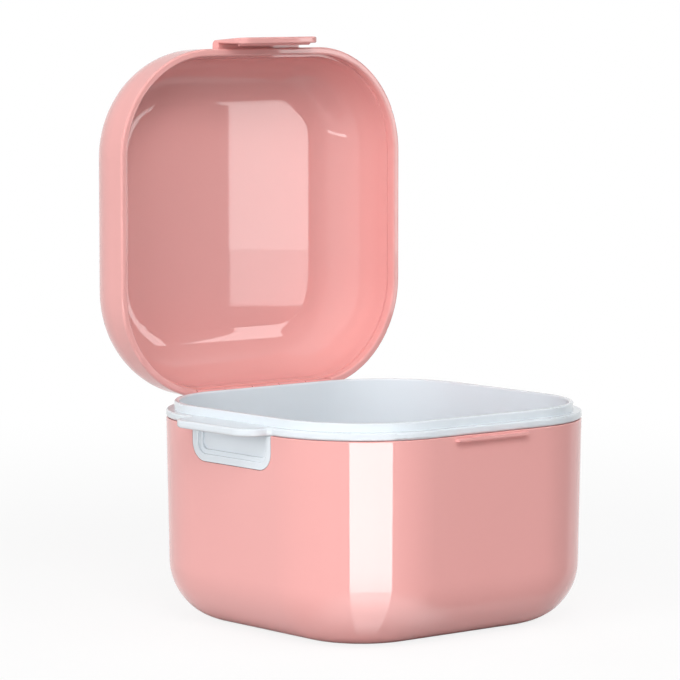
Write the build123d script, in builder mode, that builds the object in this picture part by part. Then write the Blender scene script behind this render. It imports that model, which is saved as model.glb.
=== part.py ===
"""Denture case: a cup, a lift-out soaking basket and a hinged snap lid, shown open.

Millimetres, +Z up. The origin is the centre of the cup's base on the table. The latch is
on the -Y side, the hinge on the +Y side, and the basket's two grips are on -X and +X.
"""
from build123d import *
from math import radians, tan
import os

# ---------------------------------------------------------------- overall form
case_width = 90.0           # along X, over the cup's top edge
case_depth = 87.5           # along Y, over the cup's top edge
corner_radius = 27.0        # plan radius of the four corners

# ---------------------------------------------------------------- outer cup
cup_height = 50.6           # table to the top edge of the cup
cup_wall = 1.8
cup_floor = 2.6
cup_draft = 1.0             # degrees, walls lean in towards the base
base_fillet = 15.0          # big soft edge round the base

# ---------------------------------------------------------------- basket
seat_gap = 0.05             # basket flange to cup edge
flange_thickness = 1.95
lip_inset = 2.05            # lip's outer face, in from the flange's edge
lip_height = 2.1
lip_round = 0.45
flange_round = 0.5
basket_clearance = 0.35     # cup's inner wall to basket, at the top
basket_wall = 1.25
basket_draft = 2.0          # degrees
basket_rise = 5.4           # underside of the basket above the cup's floor
basket_floor = 1.5
basket_fillet = 13.0
slot_length = 17.0          # drain slots in the basket's floor
slot_width = 2.6
slot_pitch = 6.4
slot_rows = 7
slot_column_gap = 5.0

# ---------------------------------------------------------------- finger panels and grips
panel_to_corner = 1.45      # from the notch in the cup's side to the start of the corner's curve
panel_drop = 8.7            # below the cup's top edge
panel_corner = 4.7
panel_clearance = 0.15
frame_width = 1.8           # flush border of the panel
recess_step = 0.7           # each of the two steps of the recess
recess_ledge = 1.1          # width of the ledge between them
recess_round = 0.3          # edges of both steps
grip_end_inset = 0.4        # end of the grip tab, in from the end of the notch
grip_reach = 7.4            # grip tab beyond the cup's side
grip_corner = 5.0
grip_root_round = 1.2       # where the tab meets the flange
grip_round = 0.7            # under the tab's edge

# ---------------------------------------------------------------- lid
lid_gap = 0.25              # closed lid's rim above the flange
lid_overhang = 0.4          # lid's edge beyond the cup's
lid_height = 19.75          # rim to top
lid_top = 1.8
lid_draft = 1.5             # degrees
lid_fillet = 15.0
skirt_clearance = 0.55      # lip to the skirt, the thin part of the wall that goes round it
shoulder_width = 0.5        # step from the skirt to the full wall
rim_round = 0.55            # both edges of the lid's rim
lip_headroom = 0.4          # above the lip, to that step

# ---------------------------------------------------------------- hinge
open_angle = 90.0           # degrees from shut to the open stop
pin_radius = 0.8
pin_hold = 0.02             # radial clearance in the cup's lugs
pin_running = 0.06          # radial clearance in the lid's knuckles
knuckle_wall = 0.8          # plastic round the pin
lip_to_knuckle = 0.33       # clearance that sets the hinge back from the lip
open_lid_rise = 0.14        # open lid's back wall above the flange's level
knuckle_pitch = 8.8
knuckle_gap = 0.3           # end to end
hinge_clearance = 0.4       # round a knuckle
lug_foot = 4.0              # how far a lug runs down the cup's back
heel_length = 2.4           # stop heel, out from the hinge axis
heel_height = 1.5
stop_gap = 0.25             # heel to the cup's back when open
open_lid_clearance = 0.3    # basket to the open lid's rim, as it lifts out

# ---------------------------------------------------------------- latch
latch_width = 26.2
latch_root_drop = 2.7       # height of the web that carries the flap
latch_above_rim = 4.85      # top of the flap over the lid's rim
latch_finger = 2.2          # end of the flap below its hook
latch_standoff = 1.3        # clear gap behind the flap
latch_thickness = 1.65
latch_lean = 0.9            # the flap's outer face leans out towards its end
latch_shoulder_round = 1.2
latch_corner = 3.0          # free corners of the flap
latch_round = 0.4           # edges of the flap
hook_bite = 0.35            # how far the hook goes under the bead
hook_end_inset = 1.7        # hook's ends, in from the latch's
hook_height = 1.0
catch_end_inset = 1.7       # bead's ends, in from the latch's
catch_reach = 1.5           # bead on the cup's front
catch_drop = 0.5            # bead below the cup's top edge
catch_height = 0.75
hook_gap = 0.3              # hook below the bead

edge_round = 0.25           # small broken edges

# ---------------------------------------------------------------- levels worked out
flange_underside = cup_height + seat_gap
flange_top = flange_underside + flange_thickness
lip_top = flange_top + lip_height
lid_rim = flange_top + lid_gap
lid_width = case_width + 2 * lid_overhang
lid_depth = case_depth + 2 * lid_overhang
lid_radius = corner_radius + lid_overhang
skirt_thickness = lid_overhang + lip_inset - skirt_clearance
lid_wall = skirt_thickness + shoulder_width
knuckle_radius = pin_radius + knuckle_wall
hinge_y = case_depth / 2 - lip_inset + lip_to_knuckle + knuckle_radius
hinge_z = flange_top + open_lid_rise + lid_depth / 2 - hinge_y
knuckle_length = knuckle_pitch - knuckle_gap
panel_width = case_depth - 2 * corner_radius - 2 * panel_to_corner
grip_length = panel_width - 2 * grip_end_inset
catch_width = latch_width - 2 * catch_end_inset
hook_width = latch_width - 2 * hook_end_inset
lug_places = (-2, 0, 2)     # of the five knuckle places, those on the cup
lid_knuckle_places = (-1, 1)
hinge_length = 4 * knuckle_pitch + knuckle_length
hinge_axis = Axis((0, hinge_y, hinge_z), (1, 0, 0))
open_rim = hinge_y + lid_rim - hinge_z          # the open lid's rim stands at this y
corner_centre_y = case_depth / 2 - corner_radius
notch_turn = open_rim - open_lid_clearance - corner_centre_y
hinge_notch = 2 * (case_width / 2 - corner_radius + (corner_radius**2 - notch_turn**2) ** 0.5)


def soft_tub(width, depth, radius, open_level, height, draft, end_fillet):
    """Solid of a rounded box that narrows away from its open level, up or down."""
    with BuildPart() as tub:
        with BuildSketch(Plane.XY.offset(open_level)):
            RectangleRounded(width, depth, radius)
        extrude(amount=height, taper=draft)
        closed_end = tub.faces().sort_by(Axis.Z)[-1 if height > 0 else 0]
        fillet(closed_end.edges(), end_fillet)
    return tub.part


def draw_notch(width, drop, corner, level):
    """Draw, in the open YZ sketch, a U that hangs from a level with round lower corners."""
    with Locations((0, level)):
        RectangleRounded(width, 2 * drop, corner)
        Rectangle(2 * width, 2 * drop, align=(Align.CENTER, Align.MIN), mode=Mode.SUBTRACT)


# ---------------------------------------------------------------- forms that pieces share
cup_outside = soft_tub(case_width, case_depth, corner_radius, cup_height, -cup_height, cup_draft, base_fillet)
cup_inside = soft_tub(
    case_width - 2 * cup_wall,
    case_depth - 2 * cup_wall,
    corner_radius - cup_wall,
    cup_height,
    cup_floor - cup_height,
    cup_draft,
    base_fillet - cup_wall,
)
flush_side = soft_tub(
    case_width, case_depth, corner_radius, flange_underside, -flange_underside, cup_draft, base_fillet
)

# ---------------------------------------------------------------- outer cup
cup_front = -case_depth / 2
cup_back = case_depth / 2
catch_top = cup_height - catch_drop
catch_bottom = catch_top - catch_height

with BuildPart() as outer_cup:
    add(cup_outside)
    fillet(outer_cup.edges().filter_by_position(Axis.Z, cup_height - 0.01, cup_height + 0.01), edge_round)
    add(cup_inside, mode=Mode.SUBTRACT)
    # notches in both sides for the basket's finger panels
    with BuildSketch(Plane.YZ):
        draw_notch(panel_width, panel_drop, panel_corner, cup_height)
    extrude(amount=case_width, both=True, mode=Mode.SUBTRACT)
    # bead that the latch snaps under
    with BuildSketch(Plane.YZ):
        with BuildLine():
            Polyline(
                (cup_front + cup_wall / 2, catch_top),
                (cup_front, catch_top),
                (cup_front - catch_reach, catch_top - catch_height / 3),
                (cup_front - catch_reach, catch_bottom),
                (cup_front + cup_wall / 2, catch_bottom),
                close=True,
            )
        make_face()
    extrude(amount=catch_width / 2, both=True)
    # hinge lugs on the back
    for place in lug_places:
        with BuildSketch(Plane.YZ.offset(place * knuckle_pitch)):
            with Locations((hinge_y, hinge_z)):
                Circle(knuckle_radius)
            with BuildLine():
                Polyline(
                    (hinge_y - knuckle_radius, hinge_z),
                    (hinge_y + knuckle_radius, hinge_z),
                    (hinge_y + knuckle_radius, cup_height),
                    (cup_back - cup_wall / 2, cup_height - lug_foot),
                    (cup_back - cup_wall / 2, cup_height - lug_foot / 2),
                    (hinge_y - knuckle_radius, cup_height),
                    close=True,
                )
            make_face()
        extrude(amount=knuckle_length / 2, both=True)
    with BuildSketch(Plane.YZ):
        with Locations((hinge_y, hinge_z)):
            Circle(pin_radius + pin_hold)
    extrude(amount=case_width, both=True, mode=Mode.SUBTRACT)

# ---------------------------------------------------------------- hinge pin
with BuildPart() as hinge_pin:
    with BuildSketch(Plane.YZ):
        with Locations((hinge_y, hinge_z)):
            Circle(pin_radius)
    extrude(amount=hinge_length / 2, both=True)
    chamfer(hinge_pin.edges().filter_by(GeomType.CIRCLE), pin_radius / 4)

# ---------------------------------------------------------------- basket
side_inset = cup_wall + basket_clearance
inner_inset = side_inset + basket_wall - (lip_top - flange_underside) * tan(radians(basket_draft))
basket_bottom = cup_floor + basket_rise
basket_outside = soft_tub(
    case_width - 2 * side_inset,
    case_depth - 2 * side_inset,
    corner_radius - side_inset,
    flange_underside,
    basket_bottom - flange_underside,
    basket_draft,
    basket_fillet,
)
basket_inside = soft_tub(
    case_width - 2 * inner_inset,
    case_depth - 2 * inner_inset,
    corner_radius - inner_inset,
    lip_top,
    basket_bottom + basket_floor - lip_top,
    basket_draft,
    basket_fillet - basket_floor,
)
first_recess = case_width / 2 - recess_step
second_recess = case_width / 2 - 2 * recess_step
clear_panel = panel_width - 2 * panel_clearance
clear_corner = panel_corner - panel_clearance
panel_bottom = panel_drop + seat_gap - panel_clearance

with BuildPart() as basket:
    # finger panels, flush with the cup's sides
    add(flush_side)
    with BuildSketch(Plane.YZ):
        draw_notch(clear_panel, panel_bottom, clear_corner, flange_underside)
    extrude(amount=case_width, both=True, mode=Mode.INTERSECT)
    for side in (-1, 1):
        for level, border in ((first_recess, frame_width), (second_recess, frame_width + recess_ledge)):
            with BuildSketch(Plane.YZ.offset(side * level)):
                draw_notch(
                    clear_panel - 2 * border, panel_bottom - border, clear_corner - border, flange_underside
                )
            extrude(amount=side * case_width, mode=Mode.SUBTRACT)
            step_edges = basket.edges(Select.LAST).filter_by(Axis.X, reverse=True)
            fillet(step_edges.filter_by(lambda edge: abs(edge.center().X) > level + recess_step / 2), recess_round)
    add(basket_outside)
    # flange that rests on the cup's edge, with a grip tab over each panel
    with BuildSketch(Plane.XY.offset(flange_underside)) as flange_outline:
        RectangleRounded(case_width, case_depth, corner_radius)
        RectangleRounded(case_width + 2 * grip_reach, grip_length, grip_corner)
        inner_corners = flange_outline.vertices().filter_by(
            lambda corner: abs(abs(corner.X) - case_width / 2) < 0.01 and abs(abs(corner.Y) - grip_length / 2) < 0.01
        )
        fillet(inner_corners, grip_root_round)
    extrude(amount=flange_thickness)
    # the flange stops short of the hinge, so that the basket lifts out past it
    with BuildSketch(Plane.XY.offset(flange_underside)):
        with Locations((0, case_depth / 2 - lip_inset)):
            Rectangle(hinge_notch, 2 * lip_inset, align=(Align.CENTER, Align.MIN))
    extrude(amount=flange_thickness, mode=Mode.SUBTRACT)
    fillet(basket.edges().filter_by_position(Axis.Z, flange_top - 0.01, flange_top + 0.01), flange_round)
    grip_undersides = basket.edges().filter_by_position(
        Axis.Z, flange_underside - 0.01, flange_underside + 0.01
    ).filter_by(lambda edge: abs(edge.center().X) > case_width / 2 + grip_root_round / 10)
    fillet(grip_undersides, grip_round)
    # lip that the lid's skirt goes round
    with BuildSketch(Plane.XY.offset(flange_top)):
        RectangleRounded(case_width - 2 * lip_inset, case_depth - 2 * lip_inset, corner_radius - lip_inset)
    extrude(amount=lip_height)
    add(basket_inside, mode=Mode.SUBTRACT)
    fillet(basket.edges().filter_by_position(Axis.Z, lip_top - 0.01, lip_top + 0.01), lip_round)
    # drain slots
    with BuildSketch(Plane.XY.offset(basket_bottom)):
        with GridLocations(slot_length + slot_column_gap, slot_pitch, 2, slot_rows):
            SlotOverall(slot_length, slot_width)
    extrude(amount=basket_floor, mode=Mode.SUBTRACT)

# ---------------------------------------------------------------- lid, made shut
lid_outside = soft_tub(lid_width, lid_depth, lid_radius, lid_rim, lid_height, lid_draft, lid_fillet)
lid_inside = soft_tub(
    lid_width - 2 * lid_wall,
    lid_depth - 2 * lid_wall,
    lid_radius - lid_wall,
    lid_rim,
    lid_height - lid_top,
    lid_draft,
    lid_fillet - lid_wall,
)
lid_front = -lid_depth / 2
lid_back = lid_depth / 2
shoulder_height = lip_top + lip_headroom - lid_rim
flap_inner = lid_front - latch_standoff
flap_outer = flap_inner - latch_thickness
flap_top = lid_rim + latch_above_rim
hook_top = catch_bottom - hook_gap
hook_tip = cup_front - catch_reach + hook_bite
flap_end = hook_top - hook_height - latch_finger
heel_face = hinge_z + (cup_back + stop_gap - hinge_y)

with BuildPart() as lid:
    add(lid_outside)
    add(lid_inside, mode=Mode.SUBTRACT)
    # thinner skirt that goes round the basket's lip
    with BuildSketch(Plane.XY.offset(lid_rim)):
        RectangleRounded(
            lid_width - 2 * skirt_thickness, lid_depth - 2 * skirt_thickness, lid_radius - skirt_thickness
        )
    extrude(amount=shoulder_height, mode=Mode.SUBTRACT)
    fillet(lid.edges().filter_by_position(Axis.Z, lid_rim - 0.01, lid_rim + 0.01), rim_round)
    # room round the cup's lugs
    for place in lug_places:
        with BuildSketch(Plane.YZ.offset(place * knuckle_pitch)):
            with Locations((hinge_y, hinge_z)):
                Circle(knuckle_radius + hinge_clearance)
        extrude(amount=knuckle_length / 2 + knuckle_gap, both=True, mode=Mode.SUBTRACT)
    # knuckles, each with a heel that stops the lid against the cup's back
    for place in lid_knuckle_places:
        with BuildSketch(Plane.YZ.offset(place * knuckle_pitch)):
            with Locations((hinge_y, hinge_z)):
                Circle(knuckle_radius)
            with BuildLine():
                Polyline(
                    (lid_back - skirt_thickness, hinge_z),
                    (hinge_y, hinge_z),
                    (hinge_y, heel_face),
                    (hinge_y + heel_length, heel_face),
                    (hinge_y + heel_length, heel_face + heel_height / 2),
                    (lid_back - skirt_thickness / 2, heel_face + 2 * heel_height),
                    (lid_back - skirt_thickness, heel_face + 2 * heel_height),
                    close=True,
                )
            make_face()
        extrude(amount=knuckle_length / 2, both=True)
    with BuildSketch(Plane.YZ):
        with Locations((hinge_y, hinge_z)):
            Circle(pin_radius + pin_running)
    extrude(amount=case_width, both=True, mode=Mode.SUBTRACT)
    # latch: a web out of the front wall, a flap that hangs over the rim, and its hook
    with BuildSketch(Plane.YZ) as latch_profile:
        with BuildLine():
            Polyline(
                (lid_front + lid_wall / 2, flap_top),
                (flap_outer + latch_lean, flap_top),
                (flap_outer, flap_end),
                (flap_inner, flap_end),
                (flap_inner, flap_top - latch_root_drop),
                (lid_front + lid_wall / 2, flap_top - latch_root_drop),
                close=True,
            )
        make_face()
        outer_corner = latch_profile.vertices().sort_by(Axis.Y)[-2:].sort_by(Axis.X)[0]
        fillet(outer_corner, latch_shoulder_round)
    extrude(amount=latch_width / 2, both=True)
    flap_foot = lid.edges().filter_by_position(Axis.Z, flap_end - 0.01, flap_end + 0.01)
    fillet(flap_foot.filter_by(Axis.Y), latch_corner)
    flap_edges = lid.edges().filter_by(lambda edge: edge.center().Y < flap_inner + 0.01)
    flap_outline = flap_edges.filter_by(
        lambda edge: abs(edge.center().X) > latch_width / 2 - latch_corner or edge.center().Z < flap_end + 0.01
    )
    fillet(flap_outline.filter_by(Axis.Y, reverse=True), latch_round)
    with BuildSketch(Plane.YZ):
        with BuildLine():
            Polyline(
                (flap_inner - latch_thickness / 2, hook_top - hook_height),
                (flap_inner, hook_top - hook_height),
                (hook_tip, hook_top - hook_height / 3),
                (hook_tip, hook_top),
                (flap_inner - latch_thickness / 2, hook_top),
                close=True,
            )
        make_face()
    extrude(amount=hook_width / 2, both=True)
open_lid = lid.part.rotate(hinge_axis, -open_angle)

# ---------------------------------------------------------------- write one file per piece
os.makedirs("parts", exist_ok=True)
pieces = {"outer_cup": outer_cup.part, "hinge_pin": hinge_pin.part, "basket": basket.part, "lid": open_lid}
for name, piece in pieces.items():
    piece.label = name
    export_step(piece, f"parts/{name}.step")
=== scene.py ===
"""Looks of the denture case: moulded plastic and steel finishes, a pale floor and soft studio light."""
import math

import bpy
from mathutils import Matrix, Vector

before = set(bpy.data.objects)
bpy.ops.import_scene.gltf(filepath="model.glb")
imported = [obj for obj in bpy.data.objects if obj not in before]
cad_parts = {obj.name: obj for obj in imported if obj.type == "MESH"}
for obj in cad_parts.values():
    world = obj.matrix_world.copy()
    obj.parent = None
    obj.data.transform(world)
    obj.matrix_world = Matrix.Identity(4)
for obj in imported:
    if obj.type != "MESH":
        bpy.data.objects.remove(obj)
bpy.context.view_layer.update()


def sine(degrees):
    return math.sin(math.radians(degrees))


def cosine(degrees):
    return math.cos(math.radians(degrees))


def outward(azimuth, elevation=0.0):
    """Direction from the case, in degrees from its front and above the floor."""
    return Vector((
        sine(azimuth) * cosine(elevation),
        -cosine(azimuth) * cosine(elevation),
        sine(elevation),
    ))


def aim(thing, direction, distance, target):
    """Places a camera or lamp at a distance from its target, and turns it to face that."""
    thing.location = target + direction * distance
    thing.rotation_mode = "QUATERNION"
    thing.rotation_quaternion = (-direction).to_track_quat("-Z", "Y")


# ---------------------------------------------------------------- camera
camera_azimuth = -39.74
camera_elevation = 5.64
camera_target = Vector((-0.00602, 0.00578, 0.06953))
camera_distance = 0.93665

camera = bpy.data.objects.new("camera", bpy.data.cameras.new("camera"))
bpy.context.scene.collection.objects.link(camera)
camera.data.sensor_width = 36
camera.data.lens = 199.97
camera.data.clip_start = 0.05
camera.data.clip_end = 50
aim(camera, outward(camera_azimuth, camera_elevation), camera_distance, camera_target)
bpy.context.scene.camera = camera


# ---------------------------------------------------------------- shader maths
full_white = (1, 1, 1, 1)


class Value:
    """A shader socket that can be used in Python arithmetic."""

    def __init__(self, tree, socket):
        self.tree = tree
        self.socket = socket

    def math(self, operation, *others):
        return self.tree.node("ShaderNodeMath", {"operation": operation}, self, *others)

    def __add__(self, other):
        return self.math("ADD", other)

    def __radd__(self, other):
        return self.math("ADD", other)

    def __sub__(self, other):
        return self.math("SUBTRACT", other)

    def __rsub__(self, other):
        return self.tree.node("ShaderNodeMath", {"operation": "SUBTRACT"}, other, self)

    def __mul__(self, other):
        return self.math("MULTIPLY", other)

    def __rmul__(self, other):
        return self.math("MULTIPLY", other)

    def __pow__(self, other):
        return self.math("POWER", other)


class Finish:
    """A node tree, of a material or of the world, that is built with Value expressions."""

    def __init__(self, name, tree=None):
        self.material = None
        if tree is None:
            self.material = bpy.data.materials.new(name)
            self.material.use_nodes = True
            tree = self.material.node_tree
        self.nodes = tree.nodes
        self.links = tree.links
        self.nodes.clear()
        kind = "ShaderNodeOutputMaterial" if self.material else "ShaderNodeOutputWorld"
        self.output = self.nodes.new(kind)

    def node(self, kind, settings=None, *values, out=0, **named):
        made = self.nodes.new(kind)
        for key, value in (settings or {}).items():
            setattr(made, key, value)
        for place, value in list(enumerate(values)) + list(named.items()):
            socket = made.inputs[place if isinstance(place, int) else place.replace("_", " ")]
            if isinstance(value, Value):
                self.links.new(value.socket, socket)
            else:
                socket.default_value = value
        return Value(self, made.outputs[out])

    def position(self):
        return self.node("ShaderNodeTexCoord", out="Object")

    def noise(self, size, detail=2, roughness=0.5, at=None):
        return self.node(
            "ShaderNodeTexNoise", {}, Vector=at or self.position(), Scale=1 / size,
            Detail=detail, Roughness=roughness
        )

    def vector(self, operation, *values):
        return self.node("ShaderNodeVectorMath", {"operation": operation}, *values)

    def length(self, vector):
        return self.node("ShaderNodeVectorMath", {"operation": "LENGTH"}, vector, out=1)

    def facing(self, direction, azimuth):
        """Cosine of the angle between a direction and a level one at so many degrees from the front."""
        return self.node(
            "ShaderNodeVectorMath", {"operation": "DOT_PRODUCT"}, direction, outward(azimuth), out=1
        )

    def change(self, value, start, end, low=0.0, high=1.0, shape="SMOOTHSTEP"):
        """A number that goes from low to high while a value goes from start to end."""
        return self.node(
            "ShaderNodeMapRange", {"interpolation_type": shape}, value, start, end, low, high
        )

    def glow(self, strength):
        return self.node("ShaderNodeEmission", {}, full_white, strength)

    def blend(self, share, first, second):
        return self.node("ShaderNodeMixShader", {}, share, first, second)

    def surface(self, shader):
        self.links.new(shader.socket, self.output.inputs["Surface"])
        return self.material


def mix(finish, amount, first, second):
    """Colours mixed by an amount from 0 to 1."""
    made = finish.nodes.new("ShaderNodeMix")
    made.data_type = "RGBA"
    for name, value in (("Factor", amount), ("A", first), ("B", second)):
        sockets = [s for s in made.inputs if s.name == name and s.enabled]
        if isinstance(value, Value):
            finish.links.new(value.socket, sockets[0])
        else:
            sockets[0].default_value = value
    return Value(finish, [s for s in made.outputs if s.enabled][0])


# ---------------------------------------------------------------- finishes of the pieces
bump_height = 0.00002           # fine relief of the plastics and of the pin


def moulded_plastic(name, pale, deep, roughness):
    """Glossy injection-moulded plastic: faint flow clouding, fine orange peel, a little handling wear."""
    finish = Finish(name)
    clouds = finish.noise(0.030)
    peel = finish.noise(0.0014, 2, 0.4)
    handling = finish.noise(0.006, 4, 0.65)
    colour = mix(finish, clouds, (*deep, 1), (*pale, 1))
    gloss = roughness + (handling - 0.5) * 0.01
    bump = finish.node("ShaderNodeBump", {}, Strength=0.02, Distance=bump_height, Height=peel)
    shader = finish.node(
        "ShaderNodeBsdfPrincipled", {}, Base_Color=colour, Roughness=gloss, Normal=bump, IOR=1.5
    )
    return finish.surface(shader)


def drawn_steel():
    """Drawn wire: bright steel with fine lines along the pin."""
    finish = Finish("drawn_steel")
    place = finish.node("ShaderNodeMapping", {}, Vector=finish.position(), Scale=(4, 400, 400))
    lines = finish.noise(0.2, at=place)
    bump = finish.node("ShaderNodeBump", {}, Strength=0.1, Distance=bump_height, Height=lines)
    shader = finish.node(
        "ShaderNodeBsdfPrincipled", {}, Base_Color=(0.62, 0.62, 0.63, 1), Metallic=1.0,
        Roughness=0.22 + lines * 0.12, Normal=bump
    )
    return finish.surface(shader)


pink = moulded_plastic("pink_plastic_gloss", (0.824, 0.399, 0.381), (0.804, 0.379, 0.361), 0.020)
white = moulded_plastic("white_plastic_gloss", (0.725, 0.774, 0.817), (0.708, 0.761, 0.803), 0.05)
steel = drawn_steel()
for name, material in (("outer_cup", pink), ("lid", pink), ("basket", white), ("hinge_pin", steel)):
    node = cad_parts[name]
    for place in range(len(node.data.materials)):
        node.data.materials[place] = material

# ---------------------------------------------------------------- floor and studio
# bright strip in front of the case to the left, which the cup's corner mirrors; it lies in the world, and
# close to the cup it is a painted reflection glowing on the floor
strip_azimuth = -30.0
strip_half_width = 22.35
strip_side_blur = 0.4
strip_bottom, strip_top = -16.5, -6.0          # rise of the rays that meet it: both lie below level
strip_dim_end, strip_dim_start = -12.4, -10.6  # rise at which it is dimmest, and at which it starts to dim
strip_glow = 10.6
# the strip's foot near the cup is a painted reflection: glow on the floor that only the gloss sees
strip_low_share = 0.60          # of that glow, where the strip goes over into its foot
painted_foot_share = 0.36         # of that glow, at the cup's base
strip_apex = Vector((-0.0270, -0.0274, 0))     # where the sides of its reflection meet

# dark card in front to the right, a darker part of the world's reflections, also painted on the floor past
# the ring
card_azimuth = 41.5
card_inner, card_outer = 36, 50                # degrees from its middle
card_depth = 0.58               # share of the white that it takes away

# painted reflection: glow on the floor by the front corner, which only the gloss sees
corner_azimuth = -34
corner_inner, corner_outer = 8, 34
corner_glow = 2.6

# zones of the floor, as distances from the case's middle
shade_zone = (0.12, 0.45)
ring_end_zone = (0.39, 0.41)
painted_foot_reach = 0.115

# zones of the floor, as the reach of rounded squares that follow the cup's base
contact_zone = (0.036, 0.048)
strip_end_zone = (0.036, 0.043)
strip_fade_zone = (0.044, 0.066)
corner_zone = (0.100, 0.055)

floor_size = 12
floor_tone = (0.95, 0.95, 0.95, 1)
bounce_near = (0.52, 0.52, 0.52, 1)
bounce_far = (0.15, 0.15, 0.15, 1)
shadow_white = 0.86             # share of plain white that the camera sees near the case


def bright_strip(finish, direction):
    """Share of a direction that the bright strip takes."""
    level = finish.vector("MULTIPLY", direction, (1, 1, 0))
    heading = finish.vector("NORMALIZE", level)
    outer = cosine(strip_half_width + strip_side_blur)
    inner = cosine(strip_half_width - strip_side_blur)
    return finish.change(finish.facing(heading, strip_azimuth), outer, inner, shape="LINEAR")


def dark_card(finish, direction):
    """Share of a direction that the dark card takes."""
    return finish.change(finish.facing(direction, card_azimuth), cosine(card_outer), cosine(card_inner))


def painted_reflection_ring(finish, spot, away, beside):
    """How far the gloss sees into the floor, and what it finds: air and the floor's painted reflections, a
    glowing strip foot, a corner glow, then glowing white.
    """
    heading = finish.vector("NORMALIZE", spot)
    # painted reflection: past the ring the floor glows white, darker where the dark card is painted, seen
    # only in the gloss
    painted_far_reflection = finish.glow(1.0 - dark_card(finish, heading) * card_depth)
    from_apex = finish.vector("SUBTRACT", spot, strip_apex)
    # painted reflection: the floor glows as the strip's foot, seen only in the gloss
    painted_strip_foot = bright_strip(finish, from_apex) * away.math("LESS_THAN", painted_foot_reach)
    strip_fade = finish.change(beside, *strip_fade_zone, painted_foot_share, strip_low_share, "LINEAR")
    corner_side = finish.change(
        finish.facing(heading, corner_azimuth), cosine(corner_outer), cosine(corner_inner)
    )
    corner_near = finish.change(beside, *corner_zone)
    open_air = finish.node("ShaderNodeBsdfTransparent", {}, full_white)
    # painted reflection: the floor glows by the front corner, seen only in the gloss
    open_side = finish.blend(corner_side * corner_near, open_air, finish.glow(corner_glow))
    inner = finish.blend(painted_strip_foot, open_side, finish.glow(strip_fade * strip_glow))
    ring = finish.blend(finish.change(away, *ring_end_zone), inner, painted_far_reflection)
    strip_end = finish.change(beside, *strip_end_zone)
    shown = finish.change(beside, *contact_zone).math("MAXIMUM", painted_strip_foot * strip_end)
    return shown, ring


def floor_finish():
    """Pale floor: white with the case's soft shadow, dull for bounced light, open to the gloss in a ring
    that holds painted reflections glowing on the floor.
    """
    finish = Finish("floor")
    spot = finish.position()
    seen = finish.node("ShaderNodeLightPath", out="Is Camera Ray")
    mirrored = finish.node("ShaderNodeLightPath", out="Is Glossy Ray")
    away = finish.length(spot)
    beside = finish.length(finish.vector("MULTIPLY", spot, spot)) ** 0.5
    far = finish.change(away, *shade_zone)
    bounce = mix(finish, far, bounce_near, bounce_far)
    tone = mix(finish, seen.math("MAXIMUM", mirrored), bounce, floor_tone)
    matt = finish.node("ShaderNodeBsdfDiffuse", {}, tone)
    white_share = seen * (shadow_white + far * (1 - shadow_white))
    lit = finish.blend(white_share, matt, finish.glow(1.0))
    shown, ring = painted_reflection_ring(finish, spot, away, beside)
    return finish.surface(finish.blend(mirrored * shown, lit, ring))


bpy.ops.mesh.primitive_plane_add(size=floor_size)
floor = bpy.context.object
floor.name = "floor"
floor.data.materials.append(floor_finish())


def studio_world():
    """White for the camera; in reflections white with the bright strip and the dark card; else black."""
    world = bpy.data.worlds.new("studio")
    bpy.context.scene.world = world
    world.use_nodes = True
    studio = Finish("studio", world.node_tree)
    seen = studio.node("ShaderNodeLightPath", out="Is Camera Ray")
    mirrored = studio.node("ShaderNodeLightPath", out="Is Glossy Ray")
    direction = studio.node("ShaderNodeTexCoord", out="Generated")
    rise = studio.node("ShaderNodeSeparateXYZ", {}, direction, out=2)
    under_top = rise.math("LESS_THAN", sine(strip_top))
    over_bottom = rise.math("GREATER_THAN", sine(strip_bottom))
    fade = studio.change(rise, sine(strip_dim_end), sine(strip_dim_start), strip_low_share, 1.0)
    strip = bright_strip(studio, direction) * (under_top * over_bottom) * fade * strip_glow
    strength = mirrored * (1.0 - dark_card(studio, direction) * card_depth + strip)
    ambient = studio.node("ShaderNodeBackground", {}, full_white, strength)
    backdrop = studio.node("ShaderNodeBackground", {}, full_white, 1.0)
    studio.surface(studio.blend(seen, ambient, backdrop))


studio_world()


# ---------------------------------------------------------------- lamps
def softbox(name, azimuth, elevation, distance, width, height, radiance, centre=0.04, mirrored=False):
    """Softbox that faces the case: degrees from the front and above the floor, and its face's brightness."""
    lamp = bpy.data.objects.new(name, bpy.data.lights.new(name, "AREA"))
    bpy.context.scene.collection.objects.link(lamp)
    lamp.data.shape = "RECTANGLE"
    lamp.data.size = width
    lamp.data.size_y = height
    lamp.data.energy = radiance * math.pi * width * height
    lamp.visible_glossy = mirrored
    aim(lamp, outward(azimuth, elevation), distance, Vector((0, 0, centre)))


large = (1.3, 0.55, 0.55)       # distance, width and height of a large softbox
close = (0.6, 0.25, 0.25)

# soft light, most of it from the left
softbox("left_low", -85, 10, *large, 5.7)
softbox("left_near", -75, 40, *close, 3.3)
softbox("left_front_low", -60, 10, *large, 4.0)
softbox("left_back", -150, 12, *large, 3.4)
softbox("front_near", -33, 40, *close, 4.9)
softbox("front_left", -30, 40, *large, 2.5)
softbox("front", 0, 40, *large, 1.3)
softbox("cup_front", -18, 2, 0.35, 0.12, 0.12, 2.1, 0.05)
softbox("front_right", 30, 40, *large, 2.3)
softbox("right_low", 100, 10, *large, 6.0)
softbox("right_back", 155, 12, *large, 5.0)
softbox("top", 0, 89, 1.3, 0.80, 0.80, 0.7)
# bright panel that the lid's inside mirrors, and its dimmer foot
softbox("lid_strip", 45.56, 0, 0.6455, 0.09, 0.249, 4.7, 0.1617, True)
softbox("lid_strip_foot", 45.57, 0, 0.6473, 0.09, 0.0255, 3.3, 0.0245, True)

bpy.context.scene.view_settings.view_transform = "Standard"
